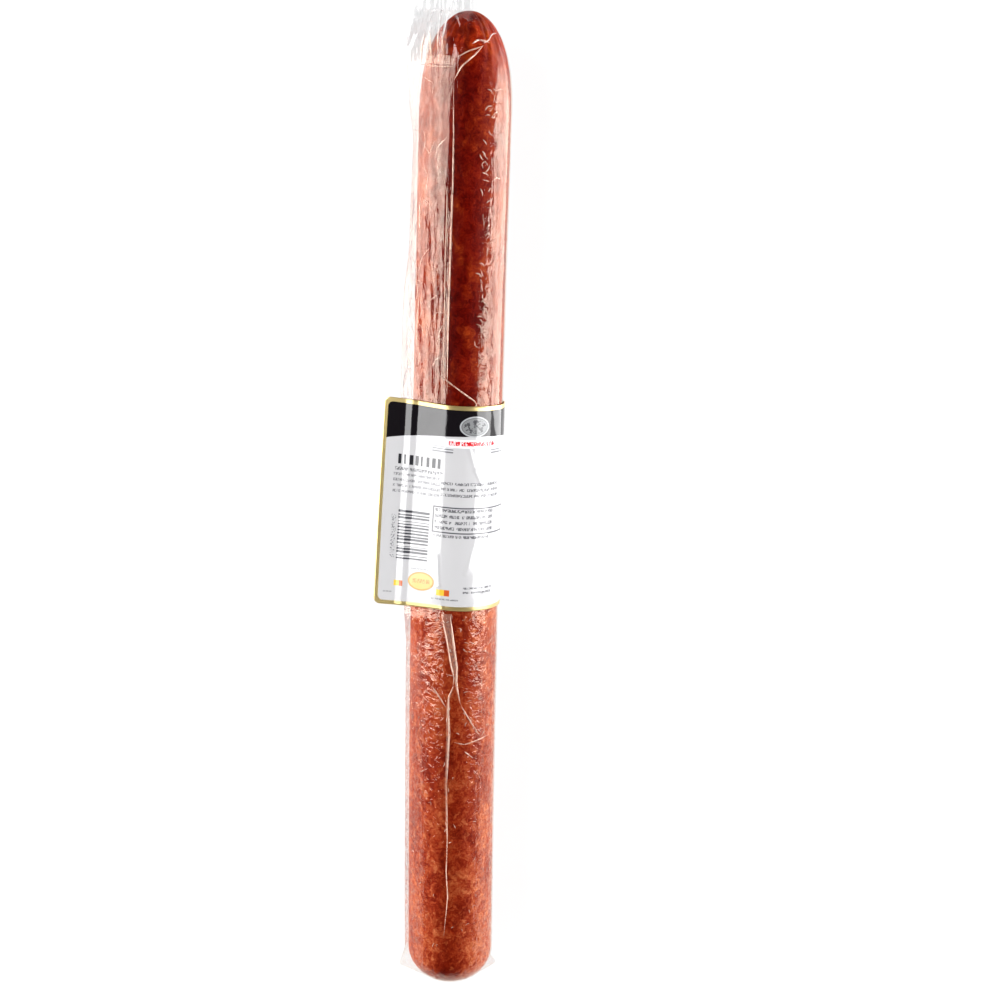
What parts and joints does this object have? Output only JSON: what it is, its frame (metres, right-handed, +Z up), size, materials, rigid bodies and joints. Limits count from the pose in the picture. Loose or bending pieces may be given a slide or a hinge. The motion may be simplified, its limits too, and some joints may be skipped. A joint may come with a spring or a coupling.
{
  "type": "cured sausage stick in a clear film bag",
  "caption": "Long, straight cured pepperoni stick in a clear film bag with a gathered neck, with a paper label stuck round the bag; it lies on its back.",
  "frame": {"origin": "on the surface that the stick rests on, under the middle of its bounding box", "axes": "+Y along the stick, towards its nose and the bag's neck; +Z up, away from the surface; the bag's spare film and the label's free edge are at -X"},
  "size_m": [0.0804, 0.6388, 0.0565],
  "materials": {
    "cured_meat": "satin",
    "clear_film": "gloss",
    "label_paper": "satin"
  },
  "bodies": {
    "root": {"sausage": "cured_meat", "film_bag": "clear_film", "label": "label_paper"}
  },
  "joints": []
}
